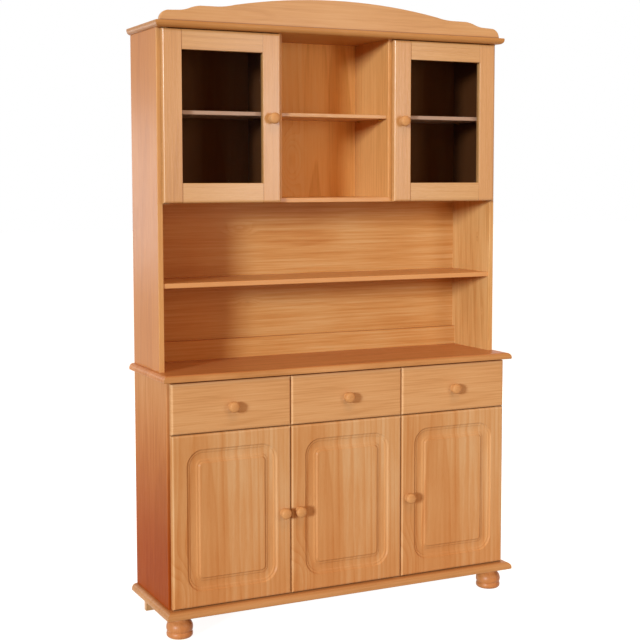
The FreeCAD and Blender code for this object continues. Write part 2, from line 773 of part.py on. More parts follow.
subpart(rounded(
    "cupboard_floor", (hutch_inner_width, f"{panel_rear} - {hutch_front}", "cupboard_floor_thick"),
    (hutch_left, hutch_front, floor_under), shelf_edges), "cupboard_floor")
subpart(rounded(
    "open_shelf",
    (hutch_inner_width, f"{panel_face} - {hutch_front} - open_shelf_setback", "open_shelf_thick"),
    (hutch_left, f"{hutch_front} + open_shelf_setback", f"{worktop_top} + open_shelf_height"), shelf_edges),
    "open_shelf")
subpart(box("hutch_upper_back", (hutch_inner_width, "back_thick", f"{cornice_under} - {floor_top}"),
            (hutch_left, panel_face, floor_top)), "hutch_upper_back")
subpart(box("hutch_lower_back", (hutch_inner_width, "back_thick", "cupboard_floor_height"),
            (hutch_left, panel_face, worktop_top)), "hutch_lower_back")
subpart(rounded("hutch_back_rail", (hutch_inner_width, "back_rail_thick", "back_rail_height"),
                (hutch_left, f"{panel_face} - back_rail_thick", worktop_top),
                [("edge_radius", ("front top",))]), "hutch_back_rail")

cupboard_shelves = [
    rounded(f"{name}_cupboard_shelf",
            (f"{right} - {left} - 2 * shelf_clearance", f"{panel_face} - shelf_clearance - {shelf_front}",
             "cupboard_shelf_thick"),
            (f"{left} + shelf_clearance", shelf_front, shelf_level), shelf_edges)
    for name, left, right in (
        ("left", hutch_left, f"(-{bay_outer})"),
        ("bay", f"(-{bay_right})", bay_right),
        ("right", bay_outer, hutch_right),
    )
]
subpart(group("cupboard_shelves", cupboard_shelves), "cupboard_shelves")
subpart(group("shelf_pins", shelf_pins), "shelf_pins")

cornice_blank = rounded(
    "cornice_blank",
    ("carcass_width + 2 * cornice_side_overhang", f"{back_y} - {hutch_front} + cornice_front_overhang",
     "cornice_thick"),
    (f"-{half_width} - cornice_side_overhang", f"{hutch_front} - cornice_front_overhang", cornice_under),
    nose_edges("cornice_thick", "bottom", "top"))
cornice_holes = dowel_holes("cornice_right", hutch_centre, hutch_dowels, cornice_under)
cornice_holes += dowel_holes("cornice_left", f"-{hutch_centre}", hutch_dowels, cornice_under)
subpart(cut("cornice_board", cornice_blank, cornice_holes), "cornice_board")


# Crest board: a shaped outline on the cornice, drawn in shares of its half length and height
def crest_shape():
    half_length = amount(f"{half_width} + cornice_side_overhang - crest_end_inset")
    height = amount("crest_height")

    def point(shares, side):
        return FreeCAD.Vector(side * shares[0] * half_length, 0, shares[1] * height)

    def half(side):
        edges = []
        start = crest_arch_shares
        for middle, end in crest_outline_shares:
            if middle is None:
                edges.append(Part.LineSegment(point(start, side), point(end, side)).toShape())
            else:
                curve = Part.Arc(point(start, side), point(middle, side), point(end, side))
                edges.append(curve.toShape())
            start = end
        return edges

    top = FreeCAD.Vector(0, 0, height)
    arch = Part.Arc(point(crest_arch_shares, -1), top, point(crest_arch_shares, 1)).toShape()
    ends = [point(crest_outline_shares[-1][1], side) for side in (1, -1)]
    outline = [arch] + half(1) + [Part.LineSegment(*ends).toShape()] + half(-1)
    wire = Part.Wire(Part.__sortEdges__(outline))
    return Part.Face(wire).extrude(FreeCAD.Vector(0, amount("crest_thick"), 0))


crest = doc.addObject("Part::Feature", "crest_board")
crest.Shape = crest_shape()
place(crest, ("0", f"{hutch_front} - cornice_front_overhang + crest_setback", cornice_top))
subpart(crest, "crest_board")


# Glazed doors: two stiles, two rails, a pane in a rebate and beads behind it
def glazed_member(name, size, corner, outer, inner, rebate, holes):
    blank = rounded(f"{name}_blank", size, corner,
                    [("front_edge_radius", outer[0]), ("back_edge_radius", outer[1]),
                     ("frame_inner_radius", inner)])
    return cut(name, blank, [rebate] + holes)


pane_clear = "(rebate_width - glass_clearance)"
glazed_middle = f"({glazed_bottom} + {glazed_height} / 2)"
glazed_pivot_depth = f"({hutch_face} + pivot_inset)"
bead_depth = "(door_thick - rebate_depth - glass_thick)"
bead_y = f"({hutch_back} - {bead_depth})"
glazed_lefts = {
    "left": f"(glazed_reveal - {half_width})",
    "right": f"({half_width} - glazed_reveal - glazed_width)",
}

for hinge, wall in (("left", hutch_left), ("right", hutch_right)):
    name = f"{hinge}_glazed"
    free = "right" if hinge == "left" else "left"
    left = glazed_lefts[hinge]
    pivot = (from_hinge(hinge, left, "glazed_width", "pivot_inset"), glazed_pivot_depth)
    knob_x = from_hinge(free, left, "glazed_width", "frame_width / 2")
    catch_x = from_hinge(free, left, "glazed_width", "catch_inset")
    opening_left = f"({left} + frame_width)"
    opening_right = f"({left} + glazed_width - frame_width)"
    opening_bottom = f"({glazed_bottom} + frame_width)"
    opening_top = f"({glazed_top} - frame_width)"
    opening_height = f"({opening_top} - {opening_bottom})"
    rebate = box(f"{name}_rebate",
                 (f"{rail_length} + 2 * rebate_width", "door_thick - rebate_depth + overrun",
                  f"{opening_height} + 2 * rebate_width"),
                 (f"{opening_left} - rebate_width", f"{hutch_face} + rebate_depth",
                  f"{opening_bottom} - rebate_width"))
    pivot_holes = bush_holes(name, pivot, glazed_bottom, glazed_top)
    handle_hole = [knob_hole(f"{name}_knob", knob_x, hutch_face, glazed_middle)]
    stiles = []
    for side, x, inner_side in (("left", left, "right"), ("right", opening_right, "left")):
        stiles.append(glazed_member(
            f"{name}_{side}_stile", ("frame_width", "door_thick", glazed_height),
            (x, hutch_face, glazed_bottom), ((f"front -{inner_side}",), (f"rear -{inner_side}",)),
            (f"front {inner_side}",), rebate, pivot_holes if side == hinge else handle_hole))
    subpart(group(f"{name}_stiles", stiles), f"{name}_stiles")
    rails = [
        glazed_member(f"{name}_{end}_rail", (rail_length, "door_thick", "frame_width"),
                      (opening_left, hutch_face, z), ((f"front {end}",), (f"rear {end}",)),
                      (f"front {inner_end}",), rebate, [])
        for end, z, inner_end in (("bottom", glazed_bottom, "top"), ("top", opening_top, "bottom"))
    ]
    subpart(group(f"{name}_rails", rails), f"{name}_rails")
    subpart(box(f"{name}_pane",
                (f"{rail_length} + 2 * {pane_clear}", "glass_thick", f"{opening_height} + 2 * {pane_clear}"),
                (f"{opening_left} - {pane_clear}", f"{hutch_face} + rebate_depth",
                 f"{opening_bottom} - {pane_clear}")), f"{name}_pane")
    bead_size = ("rebate_width", bead_depth, f"{opening_height} + 2 * rebate_width")
    bead_z = f"{opening_bottom} - rebate_width"
    cross_size = (rail_length, bead_depth, "rebate_width")
    beads = [
        box(f"{name}_left_bead", bead_size, (f"{opening_left} - rebate_width", bead_y, bead_z)),
        box(f"{name}_right_bead", bead_size, (opening_right, bead_y, bead_z)),
        box(f"{name}_bottom_bead", cross_size, (opening_left, bead_y, bead_z)),
        box(f"{name}_top_bead", cross_size, (opening_left, bead_y, opening_top)),
    ]
    subpart(group(f"{name}_beads", beads), f"{name}_beads")
    knob(f"{name}_knob", knob_x, hutch_face, glazed_middle)
    door_fittings(name, pivot, catch_x, hutch_back, glazed_bottom, glazed_top)
    door_catches.append(door_catch(name, catch_x, hutch_back, cornice_under))
    for end, under, pin_up in (("lower", floor_under, True), ("upper", cornice_under, False)):
        pivot_plates.append(pivot_plate(
            f"{name}_{end}_plate", hinge, pivot, wall, hutch_front, f"({under} - pivot_plate_thick)", pin_up))

subpart(group("pivot_plates", pivot_plates), "pivot_plates")
subpart(group("door_catches", door_catches), "door_catches")

doc.recompute()
failed = [item.Label for item in doc.Objects if {"Invalid", "Error"} & set(item.State)]
failed += [item.Label for item in subparts if item.Shape.isNull() or not item.Shape.isValid()]
if failed:
    raise RuntimeError(f"not built: {failed}")

os.makedirs("parts", exist_ok=True)
for item in subparts:
    item.Shape.exportStep(f"parts/{item.Label}.step")
    print(item.Label, len(item.Shape.Solids), round(item.Shape.Volume))
print(len(subparts), "sub-parts written")
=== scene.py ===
import bpy
import bmesh
import math
from mathutils import Euler, Matrix, Vector


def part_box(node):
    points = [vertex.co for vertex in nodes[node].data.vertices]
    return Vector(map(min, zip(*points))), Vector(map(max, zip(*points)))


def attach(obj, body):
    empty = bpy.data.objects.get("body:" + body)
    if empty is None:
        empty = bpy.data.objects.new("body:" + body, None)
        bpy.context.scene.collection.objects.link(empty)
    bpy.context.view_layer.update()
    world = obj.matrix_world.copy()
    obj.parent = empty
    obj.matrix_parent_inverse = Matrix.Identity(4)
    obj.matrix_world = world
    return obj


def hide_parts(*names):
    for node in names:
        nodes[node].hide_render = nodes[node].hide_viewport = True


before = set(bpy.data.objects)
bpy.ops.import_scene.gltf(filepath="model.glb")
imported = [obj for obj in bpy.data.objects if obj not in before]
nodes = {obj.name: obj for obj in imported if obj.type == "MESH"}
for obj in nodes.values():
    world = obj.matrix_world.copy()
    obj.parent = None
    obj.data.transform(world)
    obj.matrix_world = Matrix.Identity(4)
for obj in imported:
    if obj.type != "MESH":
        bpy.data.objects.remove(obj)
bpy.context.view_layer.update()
mm = 0.001
columns = ("left", "centre", "right")
glazed = ("left", "right")
print("frame loaded:", len(nodes), "nodes")


def linear(colour):
    # sRGB hex to the linear RGBA that a socket takes
    parts = [int(colour[i:i + 2], 16) / 255 for i in (0, 2, 4)]
    return tuple(c / 12.92 if c <= 0.04045 else ((c + 0.055) / 1.055) ** 2.4 for c in parts) + (1,)


def addNode(tree, kind, inputs=(), **settings):
    # adds a node, sets it up and feeds its sockets from a list in order or a dictionary by name
    node = tree.nodes.new("ShaderNode" + kind)
    for key, value in settings.items():
        setattr(node, key, value)
    if isinstance(inputs, dict):
        pairs = [(next(s for s in node.inputs if s.enabled and s.name == key), value)
                 for key, value in inputs.items()]
    else:
        pairs = zip([s for s in node.inputs if s.enabled], inputs)
    for socket, value in pairs:
        if isinstance(value, bpy.types.Node):
            value = next(s for s in value.outputs if s.enabled)
        if isinstance(value, bpy.types.NodeSocket):
            tree.links.new(value, socket)
        else:
            socket.default_value = value
    return node


def newMaterial(name):
    material = bpy.data.materials.new(name)
    material.use_nodes = True
    material.node_tree.nodes.clear()
    return material, material.node_tree


def setRamp(node, stops):
    ramp = node.color_ramp
    while len(ramp.elements) < len(stops):
        ramp.elements.new(0.5)
    for element, (place, colour) in zip(ramp.elements, stops):
        element.position = place
        element.color = colour if isinstance(colour, tuple) else (colour, colour, colour, 1)


def dress(material, *names):
    for name in names:
        data = nodes[name].data
        data.materials.clear()
        data.materials.append(material)


def makePiece(name, shape, body, slot, material, *replaced):
    # turns a finished bmesh into a piece that rides on a body and stands for CAD nodes
    data = bpy.data.meshes.new(name)
    shape.to_mesh(data)
    shape.free()
    data.materials.append(material)
    piece = bpy.data.objects.new(name, data)
    bpy.context.scene.collection.objects.link(piece)
    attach(piece, body)
    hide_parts(*replaced)
    return piece


# Rows: along the grain, across it on the face, through the board
grainTurns = {
    "levelFront": ((1, 0, 0), (0, 0, 1), (0, -1, 0)),
    "uprightFront": ((0, 0, 1), (1, 0, 0), (0, 1, 0)),
    "uprightSide": ((0, 0, 1), (0, 1, 0), (-1, 0, 0)),
    "levelTop": ((1, 0, 0), (0, 1, 0), (0, 0, 1)),
    "levelSide": ((0, 1, 0), (0, 0, 1), (1, 0, 0)),
}


def tones(light, middle, dark):
    # three colours of one wood, in sRGB hex
    return {"light": light, "middle": middle, "dark": dark}


# Lengths in mm from the board's origin. Contrasts say how far each feature moves the tone from light
# to dark wood. A band is (way, place, half width, contrast), a knot (along, across, radius, darkness)
# and a fade (way, from, to, amount, tint). A way is along, across or through the board, and a fade's
# tint is full at from. The depth share keeps streaks alike through the board, and the ring depth does
# so for rings, so that a routed slope shows no flutes and no scallops. The fibres are drawn coarser
# than real ones, which are too fine to show.
pineLook = {
    **tones("daab78", "cb9660", "a86f39"), "base": 0.47,
    "ringWidth": 8, "ringContrast": 0.10, "ringWaver": 4, "waverLength": 90, "ringDepth": 1,
    "stretch": 16, "logDepth": 70, "logLean": 0.8, "heart": 0.8,
    "staveWidth": 110, "staveShift": 0, "staveContrast": 0.08, "jointWidth": 1.2, "jointContrast": 0.12,
    "streakWidth": 7, "streakLength": 30, "streakContrast": 0.24, "depthShare": 0.2,
    "fibreWidth": 1.4, "fibreContrast": 0.12, "toneSize": 260, "toneContrast": 0.15,
    "bands": (), "knots": (), "knotColour": "7a4520", "fades": (), "inside": None,
    "origin": (0, 0, 0), "seed": 0,
    "roughness": (0.28, 0.38), "specular": 0.4, "bump": 0.12, "relief": 0.3, "ringRelief": 0.4,
}
lateWoodTone = ((0.0, 0.0), (0.45, 0.10), (0.80, 0.70), (0.93, 1.0), (1.0, 0.0))  # through one year's ring
logShift = {"along": 3000, "across": 1.6, "deep": 0.5}  # mm, then shares of stave width and log depth
knotShape = {"squash": 0.45, "halo": 5, "lift": 3}  # drawn out along the grain, the rest in radii
waveRing = math.pi / 10  # width of a wave texture's ring at scale 1
noiseSpan = (0.3, 0.7)  # where most of a noise texture lies

# What lies inside the glazed cupboards: a dark lining of painted shade, darker still on the walls,
# and pale shelves whose washed-out tone is partly a painted reflection off the glass. The ceiling's
# painted shade starts further back, so that the gap above the doors shows bare pine.
cupboardShade = {"colour": "5e3016", "amount": 0.89, "seam": 0.4, "setback": 0}
cupboardWallShade = {**cupboardShade, "colour": "4e2711", "amount": 0.95}
cupboardCeilingShade = {**cupboardShade, "setback": 60}
paleShelfAndGlassHaze = {**cupboardShade, "colour": "d8b49c", "amount": 0.85}


# Pine board, planed and sprayed with satin lacquer: honey ground, sharp brown late wood lines that
# waver along the grain, staves of slightly different tone, fine fibres and a soft even gloss
def pine(name, turn, **changes):
    look = {**pineLook, **changes}
    material, tree = newMaterial(name)
    place = addNode(tree, "TexCoord").outputs["Object"]
    rotation = Matrix(grainTurns[turn]).to_euler()
    origin = -(Matrix(grainTurns[turn]) @ Vector(look["origin"]))
    board = addNode(tree, "Mapping", {"Vector": place, "Rotation": rotation, "Location": origin})
    ways = addNode(tree, "SeparateXYZ", [board])
    readings = dict(zip(("along", "across", "through"), ways.outputs))

    # each stave is cut from another place in the log
    staveWidth = look["staveWidth"] * mm
    logDepth = look["logDepth"] * mm
    shifted = addNode(tree, "Math", [readings["across"], look["staveShift"] * mm], operation="ADD")
    stave = addNode(tree, "Math", [shifted, staveWidth], operation="DIVIDE")
    number = addNode(tree, "Math", [stave], operation="FLOOR")
    inStave = addNode(tree, "Math", [shifted, staveWidth, 0.0], operation="WRAP")
    counted = addNode(tree, "Math", [number, look["seed"]], operation="ADD")
    chance = addNode(tree, "TexWhiteNoise", {"W": counted}, noise_dimensions="1D")
    depth = addNode(tree, "Math", [readings["through"], look["ringDepth"]], operation="MULTIPLY")
    local = addNode(tree, "CombineXYZ", [readings["along"], inStave, depth])
    shift = (logShift["along"] * mm, logShift["across"] * staveWidth, logShift["deep"] * logDepth)
    inLog = addNode(tree, "VectorMath", [chance.outputs["Color"], shift, local], operation="MULTIPLY_ADD")

    # each knot lifts the rings around it into an eye
    eyes = []
    squash = knotShape["squash"]
    for along, across, radius, darkness in look["knots"]:
        flat = addNode(tree, "VectorMath", [board, (squash, 1, 0)], operation="MULTIPLY")
        centre = (along * mm * squash, across * mm, 0)
        reach = addNode(tree, "VectorMath", [flat, centre], operation="DISTANCE").outputs["Value"]
        core = addNode(tree, "MapRange", [reach, 0, radius * mm, darkness, 0],
                       interpolation_type="SMOOTHSTEP")
        halo = addNode(tree, "MapRange", [reach, 0, knotShape["halo"] * radius * mm, 1, 0],
                       interpolation_type="SMOOTHERSTEP")
        eyes.append(core)
        lift = addNode(tree, "CombineXYZ", [0, 0, halo])
        top = (0, 0, knotShape["lift"] * radius * mm)
        inLog = addNode(tree, "VectorMath", [lift, top, inLog], operation="MULTIPLY_ADD")

    # rings round the heart of the log, then streaks and fibres along it and a slow change of tone
    lean = math.radians(look["logLean"])
    heart = (0, look["heart"] * staveWidth, -logDepth)
    logSpace = addNode(tree, "Mapping", {
        "Vector": inLog, "Location": heart, "Rotation": (0, lean, lean / 2),
        "Scale": (look["stretch"], 1, 1)}, vector_type="TEXTURE")
    ringScale = waveRing / (look["ringWidth"] * mm)
    rings = addNode(tree, "TexWave", {
        "Vector": logSpace, "Scale": ringScale, "Distortion": look["ringWaver"], "Detail": 2.0,
        "Detail Scale": 1 / (ringScale * look["waverLength"] * mm), "Detail Roughness": 0.55},
        wave_type="RINGS", rings_direction="X", wave_profile="SAW")
    lateWood = addNode(tree, "ValToRGB", [rings.outputs["Fac"]])
    setRamp(lateWood, lateWoodTone)
    drawn = (1 / look["streakLength"], 1, look["depthShare"])
    grain = addNode(tree, "Mapping", {"Vector": inLog, "Scale": drawn})
    noises = []
    textures = (("streakWidth", grain, 3.0), ("fibreWidth", grain, 2.0), ("toneSize", board, 1.0))
    for size, space, detail in textures:
        sockets = {"Vector": space, "Scale": 1 / (look[size] * mm), "Detail": detail}
        noises.append(addNode(tree, "TexNoise", sockets).outputs["Fac"])
    streaks, fibres, slowTone = noises
    joint = addNode(tree, "MapRange", [inStave, 0, look["jointWidth"] * mm, 1, 0])

    # features add up to a tone, which the ramp turns into wood colour
    tone = look["base"]
    centred = ((streaks, "streakContrast"), (fibres, "fibreContrast"), (slowTone, "toneContrast"),
               (chance.outputs["Value"], "staveContrast"))
    for feature, contrast in centred:
        swing = addNode(tree, "Math", [feature, 0.5], operation="SUBTRACT")
        tone = addNode(tree, "Math", [swing, 2 * look[contrast], tone], operation="MULTIPLY_ADD")
    for feature, contrast in ((lateWood, "ringContrast"), (joint, "jointContrast")):
        tone = addNode(tree, "Math", [feature, look[contrast], tone], operation="MULTIPLY_ADD")
    for way, centre, halfWidth, contrast in look["bands"]:
        offset = addNode(tree, "Math", [readings[way], centre * mm], operation="SUBTRACT")
        apart = addNode(tree, "Math", [offset], operation="ABSOLUTE")
        band = addNode(tree, "MapRange", [apart, 0, halfWidth * mm, 1, 0], interpolation_type="SMOOTHSTEP")
        tone = addNode(tree, "Math", [band, contrast, tone], operation="MULTIPLY_ADD")
    colour = addNode(tree, "ValToRGB", [tone])
    wood = [linear(look[key]) for key in ("light", "middle", "dark")]
    setRamp(colour, list(zip((0.0, 0.5, 1.0), wood)))
    for core in eyes:
        colour = addNode(tree, "Mix", {"Factor": core, "A": colour, "B": linear(look["knotColour"])},
                         data_type="RGBA")
    for way, start, end, amount, tint in look["fades"]:
        share = addNode(tree, "MapRange", [readings[way], start * mm, end * mm, amount, 0],
                        interpolation_type="SMOOTHSTEP")
        colour = addNode(tree, "Mix", {"Factor": share, "A": colour, "B": linear(tint)},
                         data_type="RGBA", blend_type="MULTIPLY")
    if look["inside"]:
        colour = paintInsideCupboards(tree, place, colour, look["inside"])

    rough = addNode(tree, "MapRange", [fibres, *noiseSpan, *look["roughness"]])
    height = addNode(tree, "Math", [lateWood, look["ringRelief"], fibres], operation="MULTIPLY_ADD")
    bump = addNode(tree, "Bump", {
        "Height": height, "Strength": look["bump"], "Distance": look["relief"] * mm})
    lacquer = addNode(tree, "BsdfPrincipled", {
        "Base Color": colour, "Roughness": rough, "Normal": bump, "Specular IOR Level": look["specular"]})
    addNode(tree, "OutputMaterial", {"Surface": lacquer})
    return material


def paintInsideCupboards(tree, place, colour, insidePaint):
    # lays painted shade, or the shelves' pale tone, on what lies between the walls, floor, cornice and back
    # of the two glazed cupboards
    partition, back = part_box("hutch_partitions"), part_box("hutch_upper_back")
    side, floor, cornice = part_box("hutch_right_side"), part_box("cupboard_floor"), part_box("cornice_board")
    seam = insidePaint["seam"] * mm
    parts = addNode(tree, "SeparateXYZ", [place])
    sideways = addNode(tree, "Math", [parts.outputs["X"]], operation="ABSOLUTE")
    limits = ((sideways, partition[1].x - seam, side[0].x + seam),
              (parts.outputs["Y"], partition[0].y + seam + insidePaint["setback"] * mm, back[0].y + seam),
              (parts.outputs["Z"], floor[1].z - seam, cornice[0].z + seam))
    mask = insidePaint["amount"]
    for reading, low, high in limits:
        near = addNode(tree, "Math", [reading, (low + high) / 2, (high - low) / 2], operation="COMPARE")
        mask = addNode(tree, "Math", [near, mask], operation="MULTIPLY")
    return addNode(tree, "Mix", {"Factor": mask, "A": colour, "B": linear(insidePaint["colour"])},
                   data_type="RGBA")


# Doors: each is two glued staves of broad figure, darker on the left of the joint
doorJoint = {"left": 164, "centre": 164, "right": 203}
doorLook = {
    **tones("d8ba91", "c79460", "b26c2b"), "seed": 18, "staveContrast": -0.09, "jointContrast": 0.08,
    "ringWidth": 14, "ringContrast": 0.16, "ringWaver": 6, "ringDepth": 0.1, "logDepth": 90,
    "streakWidth": 14, "streakLength": 16, "streakContrast": 0.26, "fibreContrast": 0.1,
    # the fade leaves each door a little darker and warmer towards the bottom
    "knots": ((25, 20, 16, 0.0),), "fades": (("along", 0, 512, 1, "fdf1e5"),),
    "roughness": (0.36, 0.46), "specular": 0.15,
}
# Drawers: fine level streaks on the fronts, paler boxes without stain
drawerLook = {
    **tones("d9ad7d", "ca9763", "a8703b"), "seed": 5, "staveWidth": 75, "staveContrast": 0.04,
    "ringWidth": 7, "ringContrast": 0.10, "streakWidth": 5.5, "streakLength": 40, "streakContrast": 0.4,
    "fibreContrast": 0.16, "roughness": (0.36, 0.46), "specular": 0.15,
}
drawerBoxLook = {**tones("ecc795", "e0b680", "c48f57"), "seed": 8}
edgeHighlight = {"inset": 3.5, "halfWidth": 3.5, "upright": -0.3, "level": -0.12}  # painted highlight: the rounded edges are drawn paler, more on the upright ones
drawerTopGapShade = {"depth": 1.5, "tint": "d08850"}  # painted shade on the drawers' top edges, in the gap below the worktop


# painted highlights along the four rounded edges of a door or drawer front
def paintEdgeHighlights(rise, height, run, width):
    inset = edgeHighlight["inset"]
    edges = ((rise, inset, "level"), (rise, height - inset, "level"),
             (run, inset, "upright"), (run, width - inset, "upright"))
    return [(way, place, edgeHighlight["halfWidth"], edgeHighlight[edge]) for way, place, edge in edges]


# Each front gets painted highlights on its rounded edges, and each drawer front painted shade on its top edge
for column in columns:
    low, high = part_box(f"{column}_door_panel")
    size = (high - low) / mm
    dress(pine(f"lacqueredPineDoor.{column}", "uprightFront", origin=low, staveWidth=size.x,
               staveShift=size.x - doorJoint[column], bands=paintEdgeHighlights("along", size.z, "across", size.x),
               **doorLook), f"{column}_door_panel")
    low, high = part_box(f"{column}_drawer_front")
    size = (high - low) / mm
    topGapShade = ("across", size.z, size.z - drawerTopGapShade["depth"], 1, drawerTopGapShade["tint"])
    dress(pine(f"lacqueredPineDrawerFront.{column}", "levelFront", origin=low, fades=(topGapShade,),
               bands=paintEdgeHighlights("across", size.z, "along", size.x), **drawerLook), f"{column}_drawer_front")
    dress(pine(f"drawerSidePine.{column}", "levelSide", **drawerBoxLook),
          f"{column}_drawer_box", f"{column}_drawer_bottom")
print("doors and drawers dressed")


def shadeBehindFront(node, start, end, tint):
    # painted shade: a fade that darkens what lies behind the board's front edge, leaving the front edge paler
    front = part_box(node)[0].y / mm
    return "across", front + start, front + end, 1, tint


# Base cupboard boards: the left side carries painted shade, darker and redder towards the floor
dress(pine("lacqueredPineBaseSide", "uprightSide", **tones("dcaf84", "c78e5b", "9c622f"), seed=11,
           specular=0.05, roughness=(0.45, 0.55), streakContrast=0.36,
           fades=(("along", 180, 830, 0.95, "c4803e"), ("along", 480, 830, 1, "fff1d6"))), "base_left_side")
dress(pine("lacqueredPineDivider", "uprightSide", seed=12, streakContrast=0.32, specular=0.2),
      "base_right_side", "base_partition", "drawer_dividers")
# The worktop's top is painted darker and redder than its front edge: painted shade where little key light
# falls
dress(pine("lacqueredPineWorktop", "levelTop", **tones("d5a573", "c6905b", "a36a35"), seed=17,
           specular=0.05, streakWidth=10, streakContrast=0.5,
           fades=(shadeBehindFront("worktop", start=9, end=3, tint="ffebdf"),)), "worktop")
dress(pine("lacqueredPinePlinth", "levelTop", **tones("cf9f6c", "c08a56", "9d6632"), seed=18,
           specular=0.1, streakWidth=10), "plinth_board")
dress(pine("lacqueredPineBaseBack", "uprightFront", seed=30, staveWidth=88, staveContrast=0.16,
           ringContrast=0.2, specular=0.1), "base_back_panel")

# Hutch boards
# The left side's face is painted darker and redder than its front edge: painted shade against the strong key
# light on it
dress(pine("lacqueredPineLeftSide", "uprightSide", **tones("dbab73", "cc965c", "a96f36"), seed=13,
           specular=0.14, inside=cupboardWallShade,
           fades=(shadeBehindFront("hutch_left_side", start=3, end=1, tint="f0d3ab"),)), "hutch_left_side")
dress(pine("lacqueredPineRightSide", "uprightSide", **tones("dfb783", "cc995e", "ab6b2d"), seed=15,
           specular=0.2, streakContrast=0.36, ringContrast=0.16, inside=cupboardWallShade,
           knots=((1148, 7, 2.5, 0.8), (905, -25, 2, 0.5))), "hutch_right_side")
dress(pine("lacqueredPinePartition", "uprightSide", **tones("e0ab6e", "d29759", "ae7034"), seed=14,
           specular=0.2, inside=cupboardWallShade), "hutch_partitions")
dress(pine("lacqueredPineShelf", "levelTop", **tones("d9a165", "cb8d50", "a8692e"), seed=19,
           inside=cupboardShade),
      "open_shelf", "cupboard_floor", "drawer_shelf", "base_shelves", "drawer_runners")
dress(pine("palePineShelf", "levelTop", seed=20, inside=paleShelfAndGlassHaze), "cupboard_shelves")
dress(pine("lacqueredPineCornice", "levelTop", **tones("c59157", "b67d43", "965c27"), seed=21,
           specular=0.15, inside=cupboardCeilingShade), "cornice_board")

# Hutch backs: the faces in the hutch carry painted light, lighter and warmer than the wood, to make up
# for the shade in the recess; the faces towards the wall are tinted back to a plainer tone
wallFace = {"depth": 1, "openTint": "eff3ff", "bayTint": "d5d3e6"}
low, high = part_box("hutch_lower_back")
wall = (low.y - high.y) / mm
dress(pine("lacqueredPineOpenBack", "levelFront", **tones("e1b57c", "cf9455", "b46827"), seed=23,
           ringContrast=0.12, ringWidth=11, ringWaver=7, waverLength=150, stretch=20, staveWidth=490,
           streakWidth=7, streakContrast=0.46, streakLength=45, fibreContrast=0.2, toneContrast=0.26,
           specular=0.08, origin=low, knots=((330, 404, 7, 0.05), (356, 172, 6, 0.15)),
           # painted shadow: the open back is darker and warmer on its left, where the hutch's left side
           # shades it
           fades=(("along", 150, 400, 1, "ffe6c4"),
                  ("through", wall, wall + wallFace["depth"], 1, wallFace["openTint"]))),
      "hutch_lower_back", "hutch_back_rail")
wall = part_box("hutch_upper_back")[1].y / mm
# the bay back's bright tones are painted light, for most of the bay lies in shade
dress(pine("lacqueredPineBayBack", "uprightFront", **tones("f9cc89", "f3b66b", "cc8a3f"), seed=29,
           staveWidth=88, staveContrast=0.16, ringContrast=0.2, specular=0.01, inside=cupboardShade,
           knots=((1400, -52, 12, 0.05),),
           fades=(("through", wall, wall - wallFace["depth"], 1, wallFace["bayTint"]),)),
      "hutch_upper_back")

# Glazed doors: smoother lacquer with a pale sheen, and a dark line where a rail meets a stile
glazedLook = {"specular": 0.5, "roughness": (0.23, 0.31)}
railLook = {**glazedLook, **tones("d6ab76", "c7965e", "a56f38"), "seed": 33}
stileLook = {**glazedLook, **tones("d5a570", "c69159", "a46b35"), "seed": 37}
railJoint = {"halfWidth": 2, "contrast": 0.7}
for hand in glazed:
    ends = [corner.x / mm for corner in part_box(f"{hand}_glazed_rails")]
    shoulders = [("along", end, railJoint["halfWidth"], railJoint["contrast"]) for end in ends]
    dress(pine(f"lacqueredPineRail.{hand}", "levelFront", bands=shoulders, **railLook),
          f"{hand}_glazed_rails")
dress(pine("lacqueredPineStile", "uprightFront", **stileLook),
      "left_glazed_stiles", "right_glazed_stiles", "left_glazed_beads", "right_glazed_beads", "rear_legs")
print("boards dressed")

# Shaped crest board: the CAD board with its front and back rims rounded over, and shade at its seat
crestRim = {"round": 2.5, "steps": 3, "flat": 1.0, "weld": 0.001, "clear": 1, "facing": 0.5}
crestSeat = {"height": 5, "amount": 0.8, "tint": "6e4522"}


def makeCrest():
    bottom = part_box("crest_board")[0].z
    seat = bottom / mm
    shade = ("across", seat, seat + crestSeat["height"], crestSeat["amount"], crestSeat["tint"])
    crestPine = pine("lacqueredPineCrest", "levelFront", **tones("d5a873", "c6935c", "a46d36"), seed=31,
                     fades=(shade,))
    shape = bmesh.new()
    shape.from_mesh(nodes["crest_board"].data)
    bmesh.ops.remove_doubles(shape, verts=shape.verts, dist=crestRim["weld"] * mm)
    bmesh.ops.dissolve_limit(shape, angle_limit=math.radians(crestRim["flat"]), verts=shape.verts,
                             edges=shape.edges)
    rim = []
    for edge in shape.edges:
        flatter, steeper = sorted(abs(face.normal.y) for face in edge.link_faces)
        level = max(vert.co.z for vert in edge.verts)
        if flatter < crestRim["facing"] < steeper and level > bottom + crestRim["clear"] * mm:
            rim.append(edge)
    bmesh.ops.bevel(shape, geom=rim, offset=crestRim["round"] * mm, offset_type="OFFSET", affect="EDGES",
                    segments=crestRim["steps"], profile=0.5, material=-1)
    makePiece("shaped_crest", shape, "carcass", "honey_pine", crestPine, "crest_board")


makeCrest()

# Turned pine, sanded on the lathe and lacquered: close rings and a soft round highlight
turnedPine = pine("turnedPine", "uprightFront", **tones("d1905a", "bd7943", "975623"), seed=41,
                  ringWidth=6, streakContrast=0.3, specular=0.3, roughness=(0.36, 0.46))
knobPine = pine("turnedKnobPine", "levelSide", **tones("d3a06c", "c48c56", "a06630"), seed=43,
                ringWidth=5, streakContrast=0.2, specular=0.12, roughness=(0.38, 0.48))
dress(turnedPine, "dowels")

